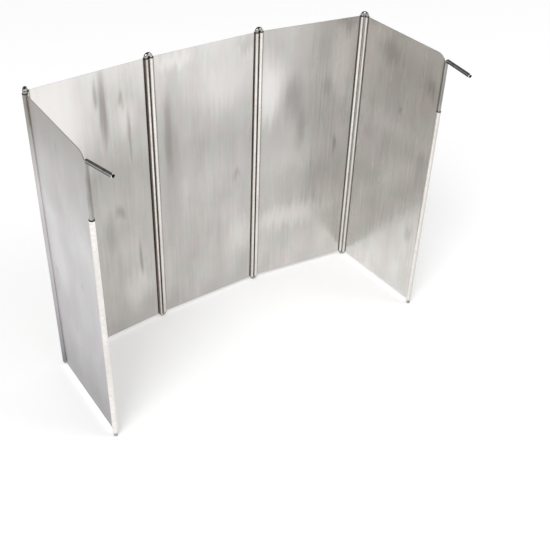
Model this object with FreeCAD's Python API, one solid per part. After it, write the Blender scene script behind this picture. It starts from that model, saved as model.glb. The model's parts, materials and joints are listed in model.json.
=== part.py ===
import FreeCAD, Part
import math
import os
from FreeCAD import Placement, Rotation, Vector

# Folding windscreen: five stainless steel panels in a row.
# The upright edges of every panel are curled into tubes, called rolls here.
# A long closed loop of wire joins two neighbouring panels, one leg in each roll,
# so every hinge has two upright axes and the panels fold flat like a concertina.
# The free roll of each wing is cut short at the top and guides a wire stake, which
# an arm at its head pushes into the ground.
# Lengths are in millimetres and angles in degrees. Z is up, and Z = 0 is the ground.
# The open side of the screen faces -Y.

# Panels
panel_height = 300.0
roll_spacing = 120.0        # between the axes of the two rolls of one panel
sheet = 0.4                 # thickness of the sheet
neck_radius = 0.9           # mid-surface bend from the flat into the roll
lip_gap = 0.25              # from the end of the curled sheet to its own neck
wire_play = 0.15            # all round a wire in its roll
roll_gap = 0.2              # between the rolls of neighbouring panels

# Wire of the hinge loops and the stakes
wire = 4.0                  # diameter
loop_top_gap = 0.2          # straight leg that shows above the panels
loop_seat_gap = 0.3         # from the panels down to the lower bow of the loop
loop_butt_gap = 0.4         # where the two ends of the bent wire meet, lowest on the loop

# Wings and stakes
roll_cut = 58.0             # length cut off the top of the free roll
notch_margin = 0.15         # sheet taken away beside the cut roll
corner_drop = 4.5           # height of the rounded corner of the wing
corner_width = 10.0         # width of the rounded corner
stake_bend = 2.8            # centre line radius where the arm leaves the shank
stake_chamfer = 0.5         # at both ends of the stake
left_arm = 33.0             # from the axis of the shank to the end of the arm
right_arm = 39.0

# How the screen stands: the turns from one panel to the next, towards the open side, at
# the first and at the second leg of the loop between them, and the turn of each arm from
# the line of its wing, also towards the open side
left_back_turns = (2.0, 2.0)
left_wing_turns = (53.5, 29.0)
right_back_turns = (4.15, 4.15)
right_wing_turns = (41.15, 41.15)
left_arm_turn = 14.0
right_arm_turn = 10.0

# Sizes that follow
mid_radius = wire / 2 + wire_play + sheet / 2
inner_radius = mid_radius - sheet / 2
outer_radius = mid_radius + sheet / 2
axis_spacing = 2 * outer_radius + roll_gap      # between the two legs of a loop
bow_radius = axis_spacing / 2
bow_centre = bow_radius + wire / 2              # height of the lower bow's centre
panel_foot = bow_centre + loop_seat_gap
panel_top = panel_foot + panel_height
arm_level = panel_top - corner_drop             # the arm is level with the foot of the corner


def polar(radius, angle):
    return radius * math.cos(math.radians(angle)), radius * math.sin(math.radians(angle))


def arc(place, centre, radius, first, last):
    """An arc about centre, from angle first to angle last, drawn through place."""
    points = []
    for angle in (first, (first + last) / 2, last):
        x, y = polar(radius, angle)
        points.append(place(centre[0] + x, centre[1] + y))
    return Part.Arc(*points).toShape()


def rolled_end(place):
    """Edges of the curled end of a sheet that arrives along -X, about the axis at 0, 0.

    The sheet necks down past the axis, goes round it and stops just short of its own
    neck, so the roll is centred on the sheet and its seam is on the +Y face.
    """
    reach = mid_radius + neck_radius
    neck_angle = math.degrees(math.asin(neck_radius / reach))
    neck_x = -reach * math.cos(math.radians(neck_angle))
    neck_centre = (neck_x, -neck_radius)
    start = 180 + neck_angle
    lip_distance = neck_radius + sheet / 2 + lip_gap
    cosine = (reach ** 2 + outer_radius ** 2 - lip_distance ** 2) / (2 * reach * outer_radius)
    finish = start + 360 - math.degrees(math.acos(cosine))
    lip = Part.LineSegment(place(*polar(inner_radius, finish)), place(*polar(outer_radius, finish)))
    edges = [
        arc(place, neck_centre, neck_radius + sheet / 2, 90, neck_angle),
        arc(place, (0, 0), inner_radius, start, finish),
        lip.toShape(),
        arc(place, (0, 0), outer_radius, start, finish),
        arc(place, neck_centre, neck_radius - sheet / 2, 90, neck_angle),
    ]
    return edges, -neck_x


def panel(seam_side):
    """A plain panel: near roll axis at X = 0, far one at X = roll_spacing, foot at Z = 0.

    seam_side is +1 or -1, the side of the X axis on which the rolls' seams lie.
    """
    near, neck = rolled_end(lambda x, y: Vector(-x, seam_side * y, 0))
    far, neck = rolled_end(lambda x, y: Vector(roll_spacing + x, seam_side * y, 0))
    flats = []
    for y in (-sheet / 2, sheet / 2):
        flats.append(Part.makeLine(Vector(neck, y, 0), Vector(roll_spacing - neck, y, 0)))
    outline = Part.Wire(Part.__sortEdges__(near + far + flats))
    return Part.Face(outline).extrude(Vector(0, 0, panel_height))


def wing(seam_side):
    """A panel whose far roll is cut away at the top, with the sheet's corner rounded off.

    The round starts level with the top edge and ends steeper, at the notch.
    """
    notch_x = roll_spacing - outer_radius - notch_margin
    depth = 4 * outer_radius

    def place(x, y):
        return Vector(x, -depth / 2, y)

    notch = Part.makeBox(depth, depth, roll_cut, place(notch_x, panel_height - roll_cut))
    round_start = notch_x - corner_width
    round_radius = (corner_width ** 2 + corner_drop ** 2) / (2 * corner_drop)
    round_turn = 2 * math.degrees(math.atan(corner_drop / corner_width))
    tip = place(notch_x, panel_height)
    waste = Part.Wire([
        arc(place, (round_start, panel_height - round_radius), round_radius, 90, 90 - round_turn),
        Part.makeLine(place(notch_x, panel_height - corner_drop), tip),
        Part.makeLine(tip, place(round_start, panel_height)),
    ])
    waste = Part.Face(waste).extrude(Vector(0, depth, 0))
    return panel(seam_side).cut(notch).cut(waste)


def bent_wire(path, start, direction):
    """A round wire along a path of lines and arcs."""
    section = Part.Wire(Part.makeCircle(wire / 2, start, direction))
    return Part.Wire(path).makePipeShell([section], True, False)


def hinge_loop():
    """A long loop of wire in the XZ plane, its legs at X = 0 and X = axis_spacing."""
    def place(x, y):
        return Vector(bow_radius + x, 0, y)

    top = panel_top + loop_top_gap
    half_gap = math.degrees(math.asin(loop_butt_gap / 2 / bow_radius))
    path = [
        arc(place, (0, bow_centre), bow_radius, half_gap - 90, 0),
        Part.makeLine(Vector(axis_spacing, 0, bow_centre), Vector(axis_spacing, 0, top)),
        arc(place, (0, top), bow_radius, 0, 180),
        Part.makeLine(Vector(0, 0, top), Vector(0, 0, bow_centre)),
        arc(place, (0, bow_centre), bow_radius, 180, 270 - half_gap),
    ]
    start = path[0].valueAt(path[0].FirstParameter)
    direction = path[0].tangentAt(path[0].FirstParameter)
    return bent_wire(path, start, direction)


def stake(arm):
    """An upright shank on the Z axis, with an arm along +X at its head."""
    def place(x, y):
        return Vector(stake_bend + x, 0, y)

    shank_top = arm_level - stake_bend
    path = [
        Part.makeLine(Vector(0, 0, 0), Vector(0, 0, shank_top)),
        arc(place, (0, shank_top), stake_bend, 180, 90),
        Part.makeLine(Vector(stake_bend, 0, arm_level), Vector(arm, 0, arm_level)),
    ]
    rod = bent_wire(path, Vector(0, 0, 0), Vector(0, 0, 1))
    ends = [face for face in rod.Faces if isinstance(face.Surface, Part.Plane)]
    rims = [edge for face in ends for edge in face.Edges]
    return rod.makeChamfer(stake_chamfer, rims)


def stand(shape, point, heading, height=0.0):
    """The shape with its X axis turned to heading and its origin moved over point."""
    placed = shape.copy()
    spin = Rotation(Vector(0, 0, 1), heading)
    placed.Placement = Placement(Vector(point.x, point.y, height), spin)
    return placed


def walk(point, heading, distance):
    x, y = polar(distance, heading)
    return Vector(point.x + x, point.y + y, 0)


def half_screen(side, point, heading, inward, turns, arm, arm_turn):
    """The two panels, two hinge loops and the stake on one side of the centre panel.

    point and heading are the centre panel's roll and the way out from it. inward is +1
    where a turn to the left closes the screen, and -1 where a turn to the right does.
    """
    pieces = {}
    shapes = (("back_" + side + "_panel", panel(inward)), (side + "_wing_panel", wing(inward)))
    loops = ("inner_" + side + "_hinge_wire", "outer_" + side + "_hinge_wire")
    for (name, shape), loop, (first_turn, second_turn) in zip(shapes, loops, turns):
        heading += inward * first_turn
        pieces[loop] = stand(hinge_loop(), point, heading)
        point = walk(point, heading, axis_spacing)
        heading += inward * second_turn
        pieces[name] = stand(shape, point, heading, panel_foot)
        point = walk(point, heading, roll_spacing)
    pieces[side + "_stake"] = stand(stake(arm), point, heading + inward * arm_turn)
    return pieces


left_roll = Vector(-roll_spacing / 2, 0, 0)
right_roll = Vector(roll_spacing / 2, 0, 0)
left_turns = (left_back_turns, left_wing_turns)
right_turns = (right_back_turns, right_wing_turns)

parts = {"back_centre_panel": stand(panel(-1), left_roll, 0, panel_foot)}
parts.update(half_screen("left", left_roll, 180, 1, left_turns, left_arm, left_arm_turn))
parts.update(half_screen("right", right_roll, 0, -1, right_turns, right_arm, right_arm_turn))

# The origin is on the ground, in the middle of the area that the screen covers.
footprint = Part.makeCompound(list(parts.values())).optimalBoundingBox(False, False)
to_origin = Vector(-footprint.Center.x, -footprint.Center.y, 0)

os.makedirs("parts", exist_ok=True)
for name, shape in parts.items():
    shape.translate(to_origin)
    shape.exportStep("parts/" + name + ".step")
    print(name, "valid", shape.isValid(), "solids", len(shape.Solids), "volume", round(shape.Volume, 1))
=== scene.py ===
import bmesh
import bpy
import json
import math
from mathutils import Matrix, Vector

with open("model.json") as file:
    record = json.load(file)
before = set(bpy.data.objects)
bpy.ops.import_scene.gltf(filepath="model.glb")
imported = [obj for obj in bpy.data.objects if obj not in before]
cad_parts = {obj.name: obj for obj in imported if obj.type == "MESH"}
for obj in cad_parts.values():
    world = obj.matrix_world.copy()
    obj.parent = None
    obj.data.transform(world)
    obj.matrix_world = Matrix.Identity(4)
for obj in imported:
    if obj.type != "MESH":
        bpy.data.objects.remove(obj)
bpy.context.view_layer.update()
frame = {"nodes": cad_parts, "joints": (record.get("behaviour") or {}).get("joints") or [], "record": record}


# Camera
# It looks down into the open side of the screen, from the left and from the height
# of a photographer who stands at the table, and is tilted a little to one side.
camera_azimuth = math.radians(-41.833)       # round the screen, from the middle of its open side
camera_elevation = math.radians(38.355)
camera_roll = math.radians(4.691)
camera_place = Vector((-0.444669, -0.604607, 0.6405))
camera = bpy.data.objects.new("camera", bpy.data.cameras.new("camera"))
camera.data.lens = 58.078
camera.data.shift_x = -0.0792
camera.data.shift_y = 0.0607
turn = Matrix.Rotation(camera_azimuth, 4, "Z")
turn @= Matrix.Rotation(math.pi / 2 - camera_elevation, 4, "X")
turn @= Matrix.Rotation(camera_roll, 4, "Z")
camera.matrix_world = Matrix.Translation(camera_place) @ turn
bpy.context.scene.collection.objects.link(camera)
bpy.context.scene.camera = camera


# Floor and studio
# A plain pale table top and a white room, which also show in the steel. Both are
# lifted to white for the eye and for reflections alone, so the floor keeps its shadow.
def linear(hex_colour):
    """The linear colour of an sRGB hex value such as "#C0B8B0"."""
    values = [int(hex_colour[i:i + 2], 16) / 255 for i in (1, 3, 5)]
    return [v / 12.92 if v <= 0.04045 else ((v + 0.055) / 1.055) ** 2.4 for v in values] + [1.0]


def add_node(tree, kind, inputs=None, stops=(), **settings):
    """A new node with its settings and its inputs.

    An input is set to a plain value, or linked to a socket or to the first output of a node.
    The stops of a colour ramp are pairs of place and hex colour.
    """
    node = tree.nodes.new(kind)
    for name, value in settings.items():
        setattr(node, name, value)
    for name, value in (inputs or {}).items():
        if isinstance(value, bpy.types.Node):
            value = next(socket for socket in value.outputs if socket.enabled)
        if isinstance(value, bpy.types.NodeSocket):
            tree.links.new(value, node.inputs[name])
        else:
            node.inputs[name].default_value = value
    for index, (place, colour) in enumerate(stops):
        elements = node.color_ramp.elements
        element = elements[index] if index < len(elements) else elements.new(place)
        element.position = place
        element.color = linear(colour)
    return node


def new_tree(owner):
    """The emptied node tree of a material or a world."""
    owner.use_nodes = True
    owner.node_tree.nodes.clear()
    return owner.node_tree


def shown_rays(tree):
    """1 for the eye and for what it sees in metal or glass, and 0 for the light that falls on things."""
    path = add_node(tree, "ShaderNodeLightPath")
    mirrored = add_node(tree, "ShaderNodeMath", operation="MAXIMUM",
                        inputs={0: path.outputs["Is Glossy Ray"], 1: path.outputs["Is Transmission Ray"]})
    return add_node(tree, "ShaderNodeMath", operation="MAXIMUM",
                    inputs={0: path.outputs["Is Camera Ray"], 1: mirrored})


floor_half = 6.0            # m, half the side of the table top
floor_mesh = bpy.data.meshes.new("floor")
shape = bmesh.new()
bmesh.ops.create_grid(shape, x_segments=1, y_segments=1, size=floor_half)
shape.to_mesh(floor_mesh)
shape.free()
floor = bpy.data.objects.new("floor", floor_mesh)
bpy.context.scene.collection.objects.link(floor)

# Matt painted board has no shine: an even white, with the screen's soft shadow on it.
board = bpy.data.materials.new("matt_white_board")
tree = new_tree(board)
paint = add_node(tree, "ShaderNodeBsdfDiffuse", {"Color": linear("#E6E6E6")})
lift = add_node(tree, "ShaderNodeEmission", {"Color": (1, 1, 1, 1), "Strength": 0.32})
lifted = add_node(tree, "ShaderNodeAddShader", {0: paint, 1: lift})
surface = add_node(tree, "ShaderNodeMixShader", {0: shown_rays(tree), 1: paint, 2: lifted})
add_node(tree, "ShaderNodeOutputMaterial", {"Surface": surface})
floor_mesh.materials.append(board)

# The metal sees white walls, a lamp's glow above them and a dark ceiling. The eye sees
# white all round.
world = bpy.data.worlds.new("white_room")
bpy.context.scene.world = world
tree = new_tree(world)
texture = add_node(tree, "ShaderNodeTexCoord")
direction = add_node(tree, "ShaderNodeSeparateXYZ", {0: texture.outputs["Generated"]})
walls = add_node(tree, "ShaderNodeValToRGB", {"Fac": direction.outputs["Z"]},
                 stops=((0.1, "#FFFFFF"), (0.35, "#505050"), (0.6, "#8C8C8C"), (0.75, "#383838")))
lit = add_node(tree, "ShaderNodeMapRange", {"Value": shown_rays(tree), "To Min": 0.5, "To Max": walls})
path = add_node(tree, "ShaderNodeLightPath")
strength = add_node(tree, "ShaderNodeMath", {0: lit, 1: path.outputs["Is Camera Ray"]}, operation="MAXIMUM")
room = add_node(tree, "ShaderNodeBackground", {"Color": (1, 1, 1, 1), "Strength": strength})
add_node(tree, "ShaderNodeOutputWorld", {"Surface": room})


screen_middle = Vector((0, 0, 0.15))        # m


def add_lamp(name, place, size, watts):
    """A square soft box that faces the middle of the screen."""
    light = bpy.data.lights.new(name, "AREA")
    light.size = size
    light.energy = watts
    lamp = bpy.data.objects.new(name, light)
    lamp.location = place
    aim = screen_middle - Vector(place)
    lamp.rotation_euler = aim.to_track_quat("-Z", "Y").to_euler()
    bpy.context.scene.collection.objects.link(lamp)


add_lamp("key_soft_box", (-2.4, -1.6, 3.2), 2.0, 90)
add_lamp("fill_soft_box", (2.6, -2.2, 2.4), 2.0, 40)


# Back panels
# Cold rolled stainless steel sheet, 0.4 mm thick, sheared to size, with both upright edges
# curled into rolls. The mill's rolling leaves a dull sheen with a soft upright grain, and use
# leaves smudges, scuffs and faint tints of heat. Reflection is painted in broad tones and light
# patches, highlight in bands on the rolls, and shade on the rolls, beside them and at their mouths.
inner_face, outer_face = 0, 1
tone_heights = (0.02, 0.25, 0.66, 1.0)      # the levels of the broad tones, from foot to top
neck_place = 2.8            # mm from the axis of a roll to the bend that leads into it
rim_height = 0.8            # mm at the mouth of a roll that is painted almost black, painted shade
fray = Vector((0.006, 0, 0.036))            # m by which the edges of the marks wander
wave_depth, grain_depth = 0.0004, 0.00001   # m
# Of the tones below, the pale one lights patches as painted highlight and reflection, and the last three are
# painted shade: in the gap between rolls, in the crease beside a roll and at a roll's mouth.
smoke = "#7F7A76"
painted_highlight = "#F2EFEC"
gap_shade = "#564F4A"
crease_tone = "#5C554F"
mouth_shade = "#2B2622"


def blotches(tree, sheet, width, height, detail=3.0):
    """Soft blotches about as wide and as high as the given millimetres."""
    scaled = add_node(tree, "ShaderNodeMapping",
                      {"Vector": sheet, "Scale": (1000 / width, 5.0, 1000 / height)})
    return add_node(tree, "ShaderNodeTexNoise", {"Vector": scaled, "Scale": 1.0, "Detail": detail})


def mill_finished_steel(panel, left, right, inner_tones, outer_tones, edge_tone, rolls, marks):
    """The steel of one panel.

    left and right are the axes of its rolls, as seen from the open side. The tones of a face
    are those at the tone heights, and on the faces in view they are painted reflection as well
    as the steel's tone. The edge tone is that of the sheared edges, painted light and shade. For
    each roll, rolls gives how far from its axis its painted highlight lies, in mm towards the
    sheet, half the width of that highlight band in mm, how strongly the roll is painted with
    shade, how strongly the crease beside it is painted with shade, and how many mm it ends below
    the sheet's top. A mark is its face, mm from the left axis, mm above the ground, half width
    and half height in mm, strength and tone.
    """
    node = frame["nodes"][panel]
    top = max(corner[2] for corner in node.bound_box)
    steel = bpy.data.materials.new("mill_finished_stainless_" + panel)
    node.material_slots[0].material = steel
    tree = new_tree(steel)
    along = right - left
    heading = math.atan2(along.y, along.x)
    point = add_node(tree, "ShaderNodeTexCoord").outputs["Object"]
    local = add_node(tree, "ShaderNodeMapping", vector_type="TEXTURE",
                     inputs={"Vector": point, "Location": left, "Rotation": (0, 0, heading)})
    axes = add_node(tree, "ShaderNodeSeparateXYZ", {0: local})
    face = add_node(tree, "ShaderNodeMath", {0: axes.outputs["Y"], 1: 0.0}, operation="GREATER_THAN")
    sheet = add_node(tree, "ShaderNodeCombineXYZ",
                     {"X": axes.outputs["X"], "Y": face, "Z": axes.outputs["Z"]})

    # Broad tones, from the foot to the top. On the faces in view they are painted reflection of
    # the surroundings, lighter or darker by height, as well as the steel's own tone.
    height = add_node(tree, "ShaderNodeMapRange", {"Value": axes.outputs["Z"], "From Max": top})
    sides = []
    for tones in (inner_tones, outer_tones):
        stops = list(zip(tone_heights, tones))
        sides.append(add_node(tree, "ShaderNodeValToRGB", {"Fac": height}, stops=stops))
    colour = add_node(tree, "ShaderNodeMix", {0: face, 6: sides[0], 7: sides[1]}, data_type="RGBA")

    # Clouds, an upright grain and tints of heat. The real grain is about a tenth of a
    # millimetre wide, and is drawn 2.4 mm wide so that it shows.
    clouds = blotches(tree, sheet, 28, 60)
    grain = blotches(tree, sheet, 2.4, 60, 4.0)
    tints = blotches(tree, sheet, 18, 30)
    for pattern, stops in (
        (clouds, ((0.3, "#ECEBEA"), (0.7, "#FFFFFF"))),
        (grain, ((0.35, "#F7F6F6"), (0.6, "#FFFFFF"))),
        (tints, ((0.35, "#FCFFFB"), (0.65, "#FFFBFA"))),
    ):
        shade = add_node(tree, "ShaderNodeValToRGB", {"Fac": pattern}, stops=stops)
        colour = add_node(tree, "ShaderNodeMix", {0: 1.0, 6: colour, 7: shade},
                          data_type="RGBA", blend_type="MULTIPLY")

    # Scuffs, drawn as wide as they need to be to show.
    specks = blotches(tree, sheet, 2.0, 9, 4.0)
    scuffs = add_node(tree, "ShaderNodeMapRange",
                      {"Value": specks, "From Min": 0.67, "From Max": 0.78, "To Max": 0.4})
    colour = add_node(tree, "ShaderNodeMix", {0: scuffs, 6: colour, 7: linear(smoke)}, data_type="RGBA")

    # Smudges with ragged upright edges, and light patches with the same edges that are painted
    # highlight and reflection.
    ragged = blotches(tree, sheet, 4.5, 40, 3.0)
    frayed = add_node(tree, "ShaderNodeVectorMath", operation="MULTIPLY_ADD",
                      inputs={0: ragged.outputs["Color"], 1: fray, 2: sheet})
    frayed = add_node(tree, "ShaderNodeVectorMath", {0: frayed, 1: fray / 2}, operation="SUBTRACT")
    for side, x, z, half_width, half_height, strength, tone in marks:
        spot = add_node(tree, "ShaderNodeMapping", vector_type="TEXTURE", inputs={
            "Vector": frayed,
            "Location": (x / 1000, side, z / 1000),
            "Scale": (half_width / 1000, 0.5, half_height / 1000),
        })
        distance = add_node(tree, "ShaderNodeVectorMath", {0: spot}, operation="LENGTH")
        fade = add_node(tree, "ShaderNodeMapRange", interpolation_type="SMOOTHSTEP",
                        inputs={"Value": distance, "From Min": 1.4, "From Max": 0.2, "To Max": strength})
        colour = add_node(tree, "ShaderNodeMix", {0: fade, 6: colour, 7: linear(tone)}, data_type="RGBA")

    # The distance in mm from the axis of the nearer roll towards the sheet, and the settings of
    # that roll's painted highlight and painted shade.
    beyond = add_node(tree, "ShaderNodeMath", {0: along.length, 1: axes.outputs["X"]}, operation="SUBTRACT")
    nearer = add_node(tree, "ShaderNodeMath", {0: axes.outputs["X"], 1: beyond}, operation="MINIMUM")
    nearer_mm = add_node(tree, "ShaderNodeMath", {0: nearer, 1: 1000.0}, operation="MULTIPLY")
    half = add_node(tree, "ShaderNodeMath", {0: axes.outputs["X"], 1: beyond}, operation="GREATER_THAN")
    offset, half_width, roll_shading, crease_shading, sawn_off = (
        add_node(tree, "ShaderNodeMapRange", {"Value": half, "To Min": at_left, "To Max": at_right})
        for at_left, at_right in zip(*rolls))
    past = add_node(tree, "ShaderNodeMath", {0: nearer_mm, 1: offset}, operation="SUBTRACT")
    past = add_node(tree, "ShaderNodeMath", {0: past, 1: half_width}, operation="DIVIDE")

    # A roll is painted a darker, brownish tone, painted shade, and darkest in the narrow gap to
    # its neighbour, painted shade.
    roll_shaded = add_node(tree, "ShaderNodeMath", {0: roll_shading, 1: 5.0}, operation="MULTIPLY", use_clamp=True)
    on_roll = add_node(tree, "ShaderNodeMapRange", interpolation_type="SMOOTHSTEP", inputs={
        "Value": nearer_mm, "From Min": neck_place + 0.1, "From Max": neck_place - 0.5, "To Max": roll_shaded})
    roll_shade_ramp = add_node(tree, "ShaderNodeValToRGB", {"Fac": roll_shading},
                     stops=((0.2, "#D8D3CE"), (1.0, "#83766D")))
    colour = add_node(tree, "ShaderNodeMix", {0: on_roll, 6: colour, 7: roll_shade_ramp}, data_type="RGBA")
    in_gap = add_node(tree, "ShaderNodeMapRange", interpolation_type="SMOOTHSTEP",
                      inputs={"Value": past, "From Min": -0.9, "From Max": -1.5})
    colour = add_node(tree, "ShaderNodeMix", {0: in_gap, 6: colour, 7: linear(gap_shade)}, data_type="RGBA")

    # Each roll has a painted highlight in a band, stronger in some places than in others. The
    # curling tool has left marks across it.
    patches = blotches(tree, sheet, 30, 70)
    settled = add_node(tree, "ShaderNodeMapRange", {
        "Value": patches, "From Min": 0.3, "From Max": 0.6, "To Min": 0.5, "To Max": 1.0})
    off_crown = add_node(tree, "ShaderNodeMath", {0: past}, operation="ABSOLUTE")
    highlight_band = add_node(tree, "ShaderNodeMapRange", interpolation_type="SMOOTHSTEP",
                      inputs={"Value": off_crown, "From Min": 1.2, "From Max": 0.5, "To Max": settled})
    chatter = blotches(tree, sheet, 9, 2.5, 2.0)
    highlight_tone = add_node(tree, "ShaderNodeValToRGB", {"Fac": chatter},
                      stops=((0.35, "#E9E5E0"), (0.65, "#F7F4F1")))
    colour = add_node(tree, "ShaderNodeMix", {0: highlight_band, 6: colour, 7: highlight_tone}, data_type="RGBA")

    # Painted shade darkens the crease between a roll and the flat sheet.
    neck = add_node(tree, "ShaderNodeMath", {0: nearer_mm, 1: neck_place}, operation="SUBTRACT")
    neck = add_node(tree, "ShaderNodeMath", {0: neck}, operation="ABSOLUTE")
    crease = add_node(tree, "ShaderNodeMapRange", interpolation_type="SMOOTHSTEP",
                      inputs={"Value": neck, "From Min": 1.0, "From Max": 0.4, "To Max": crease_shading})
    crease = add_node(tree, "ShaderNodeMath", {0: crease, 1: settled}, operation="MULTIPLY")
    colour = add_node(tree, "ShaderNodeMix", {0: crease, 6: colour, 7: linear(crease_tone)}, data_type="RGBA")

    # The sheared edges are rough and dull, with a tone per panel that is painted light and shade.
    # The mouths of the rolls are painted almost black, painted shade.
    normal = add_node(tree, "ShaderNodeNewGeometry").outputs["True Normal"]
    facing = add_node(tree, "ShaderNodeSeparateXYZ", {0: normal})
    edge = add_node(tree, "ShaderNodeMath", {0: facing.outputs["Z"]}, operation="ABSOLUTE")
    cut = add_node(tree, "ShaderNodeMath", {0: edge, 1: 0.4}, operation="GREATER_THAN")
    colour = add_node(tree, "ShaderNodeMix", {0: cut, 6: colour, 7: linear(edge_tone)}, data_type="RGBA")
    level = add_node(tree, "ShaderNodeMath", operation="MULTIPLY_ADD",
                     inputs={0: axes.outputs["Z"], 1: 1000.0, 2: sawn_off})
    rim = add_node(tree, "ShaderNodeMath", {0: level, 1: 1000 * top - rim_height}, operation="GREATER_THAN")
    round_roll = add_node(tree, "ShaderNodeMath", {0: nearer_mm, 1: neck_place}, operation="LESS_THAN")
    mouth = add_node(tree, "ShaderNodeMath", {0: rim, 1: round_roll}, operation="MULTIPLY")
    colour = add_node(tree, "ShaderNodeMix", {0: mouth, 6: colour, 7: linear(mouth_shade)}, data_type="RGBA")

    # Dull metal, a little uneven, with shallow waves in the sheet.
    metallic = add_node(tree, "ShaderNodeMapRange", {"Value": cut, "To Min": 0.85, "To Max": 0.4})
    rough = add_node(tree, "ShaderNodeMapRange",
                     {"Value": grain, "From Min": 0.3, "From Max": 0.7, "To Min": 0.18, "To Max": 0.28})
    torn = add_node(tree, "ShaderNodeMath", {0: cut, 1: 0.6}, operation="MULTIPLY")
    rough = add_node(tree, "ShaderNodeMath", {0: rough, 1: torn}, operation="MAXIMUM")
    waves = blotches(tree, sheet, 30, 200, 1.0)
    dented = add_node(tree, "ShaderNodeBump", {"Height": waves, "Distance": wave_depth, "Strength": 1.0})
    brushed = add_node(tree, "ShaderNodeBump",
                       {"Height": grain, "Distance": grain_depth, "Strength": 1.0, "Normal": dented})
    metal = add_node(tree, "ShaderNodeBsdfPrincipled",
                     {"Base Color": colour, "Metallic": metallic, "Roughness": rough, "Normal": brushed})
    add_node(tree, "ShaderNodeOutputMaterial", {"Surface": metal})


pivot = {joint["name"]: Vector(joint["pos_m"]) for joint in frame["joints"] if "pos_m" in joint}
plain_tones = ("#C4C3C1", "#CBCAC8", "#CDCCCA", "#D2D1CF")

mill_finished_steel(
    "back_left_panel", pivot["outer_left_wire_turn"], pivot["back_left_panel_turn"],
    ("#CFCDCB", "#CBC9C7", "#BAB8B6", "#E9E8E7"), plain_tones, "#DAD8D5",
    ((0.0, 1.2, 0.5, 0.3, 0), (0.3, 1.0, 1.0, 1.0, 0)),
    [
        (inner_face, 15, 262, 42, 62, 0.8, painted_highlight),
        (inner_face, 95, 252, 12, 20, 0.3, painted_highlight),
        (inner_face, 95, 54, 20, 22, 0.3, painted_highlight),
        (inner_face, 71, 268, 5, 40, 0.65, smoke),
        (inner_face, 64, 281, 2, 15, 0.5, smoke),
        (inner_face, 90, 270, 3, 9, 0.45, "#7C8474"),
        (inner_face, 97, 236, 2, 24, 0.5, smoke),
        (inner_face, 80, 152, 6, 8, 0.4, smoke),
        (inner_face, 66, 130, 8, 25, 0.3, smoke),
        (inner_face, 100, 86, 2, 22, 0.5, smoke),
    ])

mill_finished_steel(
    "back_centre_panel", pivot["inner_left_wire_turn"], pivot["inner_right_wire_turn"],
    ("#CCCAC9", "#CFCDCC", "#C2C0BF", "#E6E5E4"), plain_tones, "#CBC8C4",
    ((-1.0, 1.5, 0.5, 0.25, 0), (0.5, 1.3, 0.7, 1.0, 0)),
    [
        (inner_face, 85, 262, 40, 30, 0.35, painted_highlight),
        (inner_face, 25, 296, 25, 9, 0.4, painted_highlight),
        (inner_face, 100, 70, 20, 25, 0.3, painted_highlight),
        (inner_face, 110, 297, 14, 10, 0.2, smoke),
        (inner_face, 15, 217, 5, 45, 0.5, smoke),
        (inner_face, 16, 160, 12, 90, 0.25, smoke),
        (inner_face, 22, 230, 30, 38, 0.15, smoke),
        (inner_face, 33, 69, 25, 25, 0.15, smoke),
        (inner_face, 97, 151, 6, 5, 0.3, smoke),
    ])

mill_finished_steel(
    "back_right_panel", pivot["back_right_panel_turn"], pivot["outer_right_wire_turn"],
    ("#DAD8D6", "#CFCDCB", "#C4C2C1", "#CECCCB"), plain_tones, "#96908A",
    ((-0.6, 1.6, 0.6, 0.2, 0), (0.6, 1.5, 0.6, 0.7, 0)),
    [
        (inner_face, 10, 240, 24, 40, 0.65, painted_highlight),
        (inner_face, 100, 262, 16, 40, 0.4, painted_highlight),
        (inner_face, 45, 78, 60, 16, 0.35, painted_highlight),
        (inner_face, 60, 122, 70, 22, 0.12, smoke),
        (inner_face, 40, 226, 15, 30, 0.48, smoke),
        (inner_face, 52, 190, 7, 30, 0.35, smoke),
        (inner_face, 83, 234, 6, 13, 0.3, smoke),
        (inner_face, 98, 157, 2.5, 12, 0.6, smoke),
        (inner_face, 106, 303, 18, 9, 0.3, smoke),
    ])


# Wings
# The same sheet as the back panels. The free roll of each is sawn short at the top,
# to let out the stake, and the sheet's corner above it is snipped round.
foot = {mount["name"]: Vector(mount["pos_m"]) for mount in frame["record"]["mounts"]}
sawn_length = 58            # mm that each free roll ends below the sheet's top

mill_finished_steel(
    "left_wing_panel", foot["left_stake_foot"], pivot["left_wing_turn"],
    plain_tones, ("#929094", "#BFBEC3", "#D6D5D8", "#A4A29F"), "#453C35",
    ((-1.6, 2.2, 0.35, 0.0, sawn_length), (-1.4, 0.9, 0.0, 0.0, 0)),
    [
        # The thin dark line next to the hinge roll near the top is painted shade in the crease.
        (outer_face, 117.2, 292, 0.8, 20, 0.9, "#6E5C4E"),
        (outer_face, 88, 150, 25, 30, 0.25, painted_highlight),
        (outer_face, 100, 290, 50, 28, 0.35, smoke),
        (outer_face, 109, 286, 9, 22, 0.3, "#8A7B68"),
        (outer_face, 86, 225, 22, 25, 0.15, smoke),
        (outer_face, 62, 279, 3, 3, 0.4, smoke),
        (outer_face, 101, 133, 4, 3, 0.4, smoke),
        (outer_face, 41, 156, 2, 4, 0.4, smoke),
        (outer_face, 70, 85, 1.5, 6, 0.4, smoke),
    ])

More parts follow.
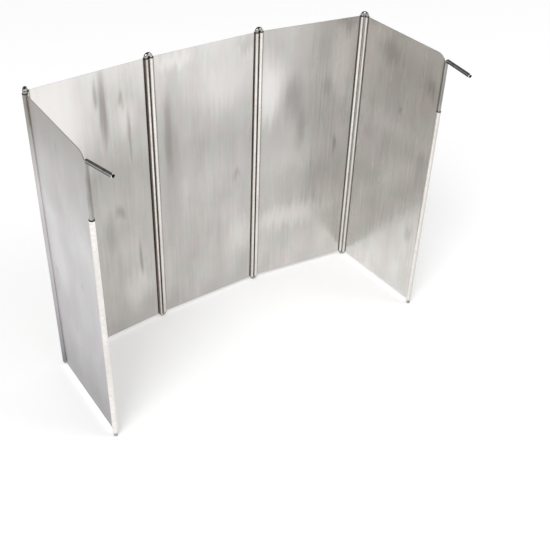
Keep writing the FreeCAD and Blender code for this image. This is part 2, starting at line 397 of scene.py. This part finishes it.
mill_finished_steel(
    "right_wing_panel", pivot["right_wing_turn"], foot["right_stake_foot"],
    ("#EAE9E8", "#E6E5E4", "#E6E4E3", "#DEDBD8"), plain_tones, "#6B645C",
    ((1.0, 1.4, 0.6, 0.7, 0), (-0.3, 2.2, 0.3, 0.5, sawn_length)),
    [
        (inner_face, 60, 202, 70, 14, 0.35, painted_highlight),
        (inner_face, 100, 165, 25, 16, 0.25, painted_highlight),
        (inner_face, 10, 50, 12, 40, 0.3, painted_highlight),
        (inner_face, 25, 126, 32, 16, 0.12, smoke),
        (inner_face, 42, 281, 18, 14, 0.35, smoke),
        (inner_face, 66, 229, 2, 4, 0.5, smoke),
        (inner_face, 106, 266, 8, 12, 0.35, smoke),
        (inner_face, 106, 170, 9, 24, 0.3, smoke),
        (inner_face, 104, 88, 7, 13, 0.3, smoke),
    ])


# Hinge wires and stakes
# Hard drawn stainless wire, 4 mm thick, bent cold and cropped. Each closed loop runs in the
# rolls of two panels, and each stake in a wing's free roll. The skin of drawn wire is grey
# and smooth, thinner where hands rub it, with sharp bright lines of light along it.
patch_width = 6.25          # mm across a patch of thicker or thinner skin
patch_length = patch_width / 0.3
shade_from, shade_at = -0.0015, 0.0005        # m past the bend, where the painted shade under an arm starts and where it is full
shade_above = 0.0009         # m above its axis up to which an arm has painted shade
crop_face = 0.0004          # m from the start of the chamfer to the dark face at the end


def drawn_wire(name, arm):
    """The steel of one bent wire.

    arm is the mount on the wire's arm, or None where it has no arm. An arm is painted darker
    below, painted shade, and its cropped end has a face painted dark, painted shade, inside a
    chamfer with a painted highlight.
    """
    wire = bpy.data.materials.new("hard_drawn_stainless_" + name)
    tree = new_tree(wire)
    point = add_node(tree, "ShaderNodeTexCoord").outputs["Object"]
    drawn_out = add_node(tree, "ShaderNodeMapping", {
        "Vector": point, "Scale": (1000 / patch_width, 1000 / patch_width, 1000 / patch_length)})
    skin = add_node(tree, "ShaderNodeTexNoise", {"Vector": drawn_out, "Scale": 1.0, "Detail": 2.0})
    colour = add_node(tree, "ShaderNodeValToRGB", {"Fac": skin},
                      stops=((0.35, "#9B9A97"), (0.65, "#B9B8B5")))
    if arm:
        half_length = arm["dims"]["length_mm"] / 2000
        from_middle = add_node(tree, "ShaderNodeVectorMath", operation="SUBTRACT",
                               inputs={0: point, 1: arm["pos_m"]})
        rise = add_node(tree, "ShaderNodeSeparateXYZ", {0: from_middle}).outputs["Z"]
        along = add_node(tree, "ShaderNodeVectorMath", {0: from_middle, 1: arm["axis"]},
                         operation="DOT_PRODUCT").outputs["Value"]
        # Painted shade under the arm, and at its cropped end a painted highlight on the chamfer and painted
        # shade on the end face.
        on_arm = add_node(tree, "ShaderNodeMapRange", {
            "Value": along, "From Min": shade_from - half_length, "From Max": shade_at - half_length})
        below = add_node(tree, "ShaderNodeMapRange", interpolation_type="SMOOTHSTEP", inputs={
            "Value": rise, "From Min": shade_above, "From Max": 0.0, "To Max": on_arm})
        colour = add_node(tree, "ShaderNodeMix", data_type="RGBA",
                          inputs={0: below, 6: colour, 7: linear("#45433F")})
        for start, tone in ((half_length, "#F2F0EC"), (half_length + crop_face, "#1C1A18")):
            beyond = add_node(tree, "ShaderNodeMath", {0: along, 1: start}, operation="GREATER_THAN")
            colour = add_node(tree, "ShaderNodeMix", data_type="RGBA",
                              inputs={0: beyond, 6: colour, 7: linear(tone)})
    metal = add_node(tree, "ShaderNodeBsdfPrincipled",
                     {"Base Color": colour, "Metallic": 1.0, "Roughness": 0.2})
    add_node(tree, "ShaderNodeOutputMaterial", {"Surface": metal})
    return wire


arms = {mount["name"]: mount for mount in frame["record"]["mounts"] if mount["kind"] == "pin"}
for name, node in frame["nodes"].items():
    if not name.endswith("_panel"):
        node.material_slots[0].material = drawn_wire(name, arms.get(name + "_arm"))


bpy.context.scene.view_settings.view_transform = "Standard"
